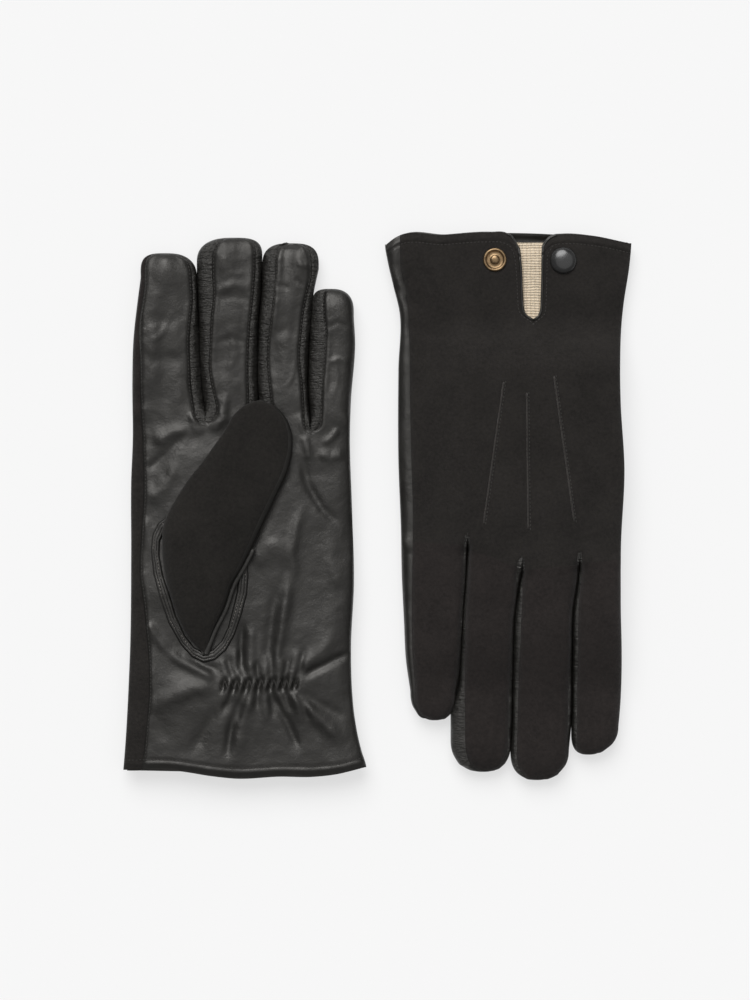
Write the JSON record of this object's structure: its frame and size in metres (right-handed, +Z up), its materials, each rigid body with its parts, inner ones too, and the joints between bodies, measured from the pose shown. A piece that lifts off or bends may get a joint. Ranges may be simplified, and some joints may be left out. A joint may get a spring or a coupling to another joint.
{
  "type": "pair of gloves",
  "caption": "Pair of men's dress gloves laid flat, nappa palms, suede backs, knitted lining, elastic wrist and a snap-fastened vent.",
  "frame": {"origin": "on the table under the middle of the pair's box", "axes": "+Y along the fingers of the left glove, +X from the left glove to the right glove, +Z up"},
  "size_m": [0.2362, 0.2546, 0.026],
  "materials": {
    "palm_leather": "smooth satin",
    "finger_leather": "smooth satin",
    "gusset_leather": "smooth satin",
    "piping_leather": "smooth satin",
    "back_suede": "napped matt",
    "finger_suede": "napped matt",
    "thumb_suede": "napped matt",
    "knit_lining": "fine rib knit",
    "elastic_tape": "woven",
    "snap_cap": "gloss black",
    "brass": "satin"
  },
  "bodies": {
    "right_hand": {"right_palm_leather": "palm_leather", "right_back_suede": "back_suede", "right_cuff_hem": "palm_leather", "right_wrist_elastic": "elastic_tape", "right_hand_lining": "knit_lining", "right_vent_piping": "piping_leather", "right_snap_stud": "brass"},
    "right_flap": {"right_snap_flap": "back_suede", "right_snap_cap": "snap_cap", "right_snap_socket": "brass"},
    "right_index": {"right_index_palm_lobe": "finger_leather", "right_index_back_lobe": "finger_suede", "right_index_lining": "knit_lining", "right_index_outer_gusset": "gusset_leather"},
    "right_middle": {"right_middle_palm_lobe": "finger_leather", "right_middle_back_lobe": "finger_suede", "right_middle_lining": "knit_lining", "right_middle_outer_gusset": "gusset_leather", "right_middle_inner_gusset": "gusset_leather"},
    "right_ring": {"right_ring_palm_lobe": "finger_leather", "right_ring_back_lobe": "finger_suede", "right_ring_lining": "knit_lining", "right_ring_outer_gusset": "gusset_leather", "right_ring_inner_gusset": "gusset_leather"},
    "right_little": {"right_little_palm_lobe": "finger_leather", "right_little_back_lobe": "finger_suede", "right_little_lining": "knit_lining", "right_little_inner_gusset": "gusset_leather"},
    "right_thumb": {"right_thumb_suede": "thumb_suede", "right_thumb_leather": "palm_leather"},
    "left_hand": {"left_palm_leather": "palm_leather", "left_back_suede": "back_suede", "left_cuff_hem": "palm_leather", "left_wrist_elastic": "elastic_tape", "left_hand_lining": "knit_lining", "left_vent_piping": "piping_leather", "left_snap_stud": "brass"},
    "left_flap": {"left_snap_flap": "back_suede", "left_snap_cap": "snap_cap", "left_snap_socket": "brass"},
    "left_index": {"left_index_palm_lobe": "finger_leather", "left_index_back_lobe": "finger_suede", "left_index_lining": "knit_lining", "left_index_outer_gusset": "gusset_leather"},
    "left_middle": {"left_middle_palm_lobe": "finger_leather", "left_middle_back_lobe": "finger_suede", "left_middle_lining": "knit_lining", "left_middle_outer_gusset": "gusset_leather", "left_middle_inner_gusset": "gusset_leather"},
    "left_ring": {"left_ring_palm_lobe": "finger_leather", "left_ring_back_lobe": "finger_suede", "left_ring_lining": "knit_lining", "left_ring_outer_gusset": "gusset_leather", "left_ring_inner_gusset": "gusset_leather"},
    "left_little": {"left_little_palm_lobe": "finger_leather", "left_little_back_lobe": "finger_suede", "left_little_lining": "knit_lining", "left_little_inner_gusset": "gusset_leather"},
    "left_thumb": {"left_thumb_suede": "thumb_suede", "left_thumb_leather": "palm_leather"}
  },
  "joints": [
    {"name": "left_glove_lift", "type": "slide", "parent": "right_hand", "child": "left_hand", "axis": [0, 0, 1], "range_m": [0, 0.15]},
    {"name": "left_index_fold", "type": "hinge", "parent": "left_hand", "child": "left_index", "pos_m": [-0.0976, 0.0525, 0.0065], "axis": [1, 0, 0], "range_deg": [0, 70]},
    {"name": "left_middle_fold", "type": "hinge", "parent": "left_hand", "child": "left_middle", "pos_m": [-0.0686, 0.0525, 0.0065], "axis": [1, 0, 0], "range_deg": [0, 70]},
    {"name": "left_ring_fold", "type": "hinge", "parent": "left_hand", "child": "left_ring", "pos_m": [-0.0436, 0.0525, 0.0065], "axis": [1, 0, 0], "range_deg": [0, 70]},
    {"name": "left_little_fold", "type": "hinge", "parent": "left_hand", "child": "left_little", "pos_m": [-0.0216, 0.0465, 0.0065], "axis": [1, 0, 0], "range_deg": [0, 70]},
    {"name": "right_index_fold", "type": "hinge", "parent": "right_hand", "child": "right_index", "pos_m": [0.1021, -0.0376, 0.0149], "axis": [-1, 0, 0], "range_deg": [0, 70]},
    {"name": "right_middle_fold", "type": "hinge", "parent": "right_hand", "child": "right_middle", "pos_m": [0.0771, -0.0366, 0.0149], "axis": [-1, 0, 0], "range_deg": [0, 70]},
    {"name": "right_ring_fold", "type": "hinge", "parent": "right_hand", "child": "right_ring", "pos_m": [0.0521, -0.0361, 0.0149], "axis": [-1, 0, 0], "range_deg": [0, 70]},
    {"name": "right_little_fold", "type": "hinge", "parent": "right_hand", "child": "right_little", "pos_m": [0.0261, -0.0326, 0.013], "axis": [-1, 0, 0], "range_deg": [0, 70]},
    {"name": "left_thumb_open", "type": "hinge", "parent": "left_hand", "child": "left_thumb", "pos_m": [-0.0908, -0.0399, 0.0156], "axis": [0.409, -0.9125, 0], "range_deg": [0, 90]},
    {"name": "right_thumb_open", "type": "hinge", "parent": "right_hand", "child": "right_thumb", "pos_m": [0.0911, 0.0499, 0.004], "axis": [0, 0, 1], "range_deg": [0, 45]},
    {"name": "left_flap_open", "type": "hinge", "parent": "left_hand", "child": "left_flap", "pos_m": [-0.0746, -0.0855, 0.0032], "axis": [0.678, 0.7351, 0], "range_deg": [0, 110]},
    {"name": "right_flap_open", "type": "hinge", "parent": "right_hand", "child": "right_flap", "pos_m": [0.0741, 0.0869, 0.012], "axis": [0.678, 0.7351, 0], "range_deg": [0, 110]}
  ]
}
